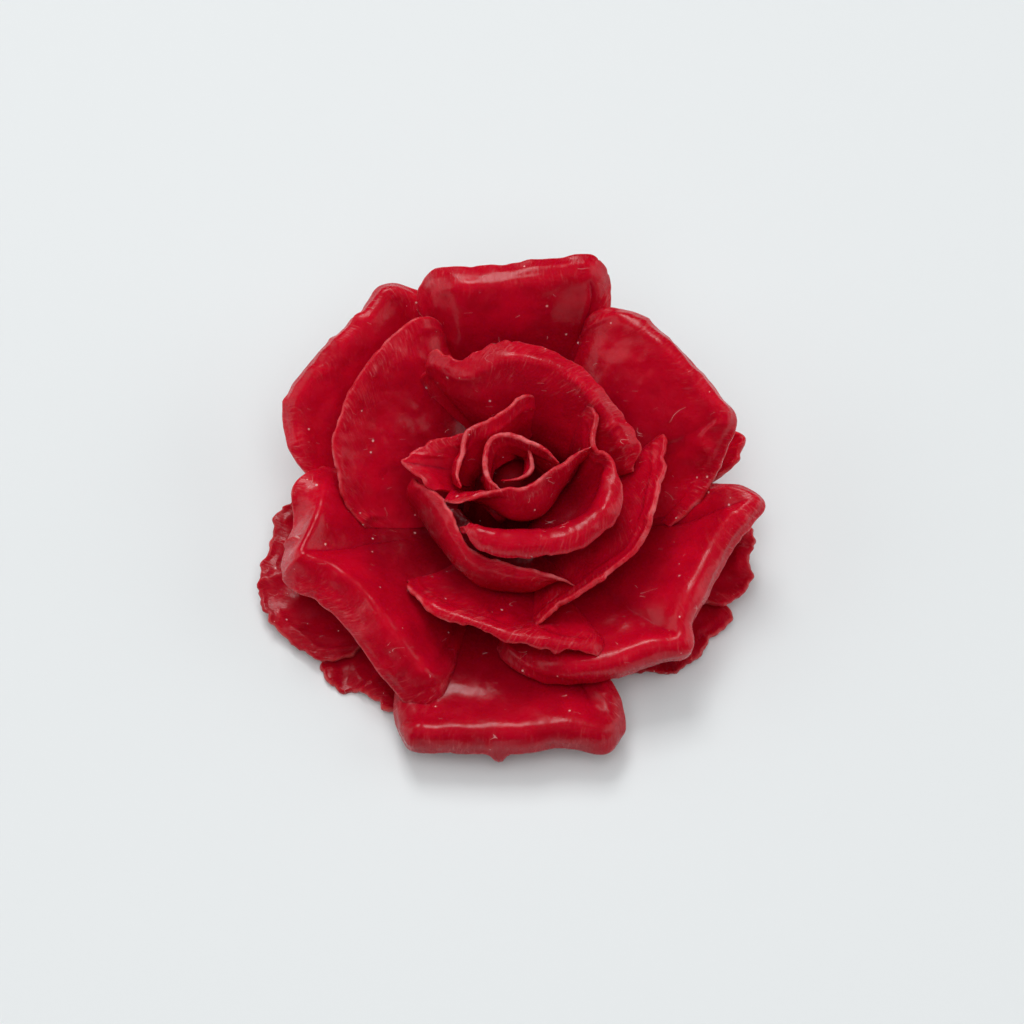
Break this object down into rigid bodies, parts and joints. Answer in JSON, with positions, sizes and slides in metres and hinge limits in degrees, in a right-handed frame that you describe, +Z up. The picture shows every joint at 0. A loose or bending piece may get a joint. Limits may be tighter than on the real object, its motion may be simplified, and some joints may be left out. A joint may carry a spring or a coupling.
{
  "type": "rose bloom",
  "caption": "Red rose bloom dipped in wax, lying face up on a collar of leaves, with a tight spiral bud inside broad petals whose margins roll outwards.",
  "frame": {"origin": "centre of the flat cut face under the hip, on which the bloom rests", "axes": "+Z up out of the open bloom, -Y towards the side where the petals hang lowest, +X to the right seen from there"},
  "size_m": [0.0853, 0.0803, 0.0333],
  "materials": {
    "petal_wax": "satin wax over petals",
    "leaf_wax": "satin wax over leaves",
    "hip_wax": "satin wax over the cut hip"
  },
  "bodies": {
    "root": {"bud_petal_heart": "petal_wax", "bud_petal_centre": "petal_wax", "bud_petal_back": "petal_wax", "bud_petal_front": "petal_wax", "bud_wrap_right": "petal_wax", "bud_petal_left": "petal_wax", "bud_wrap_left": "petal_wax", "middle_petal_back": "petal_wax", "middle_petal_right": "petal_wax", "middle_petal_front": "petal_wax", "outer_petal_left_inner": "petal_wax", "outer_petal_right_back": "petal_wax", "outer_petal_left_front": "petal_wax", "outer_petal_right_front": "petal_wax", "outer_petal_back": "petal_wax", "outer_petal_front": "petal_wax", "outer_petal_left_back": "petal_wax", "collar_leaf_right_back": "leaf_wax", "collar_leaf_right": "leaf_wax", "collar_leaf_left": "leaf_wax", "collar_leaf_left_front": "leaf_wax", "collar_leaf_right_front": "leaf_wax", "collar_leaf_back": "leaf_wax", "collar_leaf_left_back": "leaf_wax", "hip": "hip_wax"}
  },
  "joints": []
}
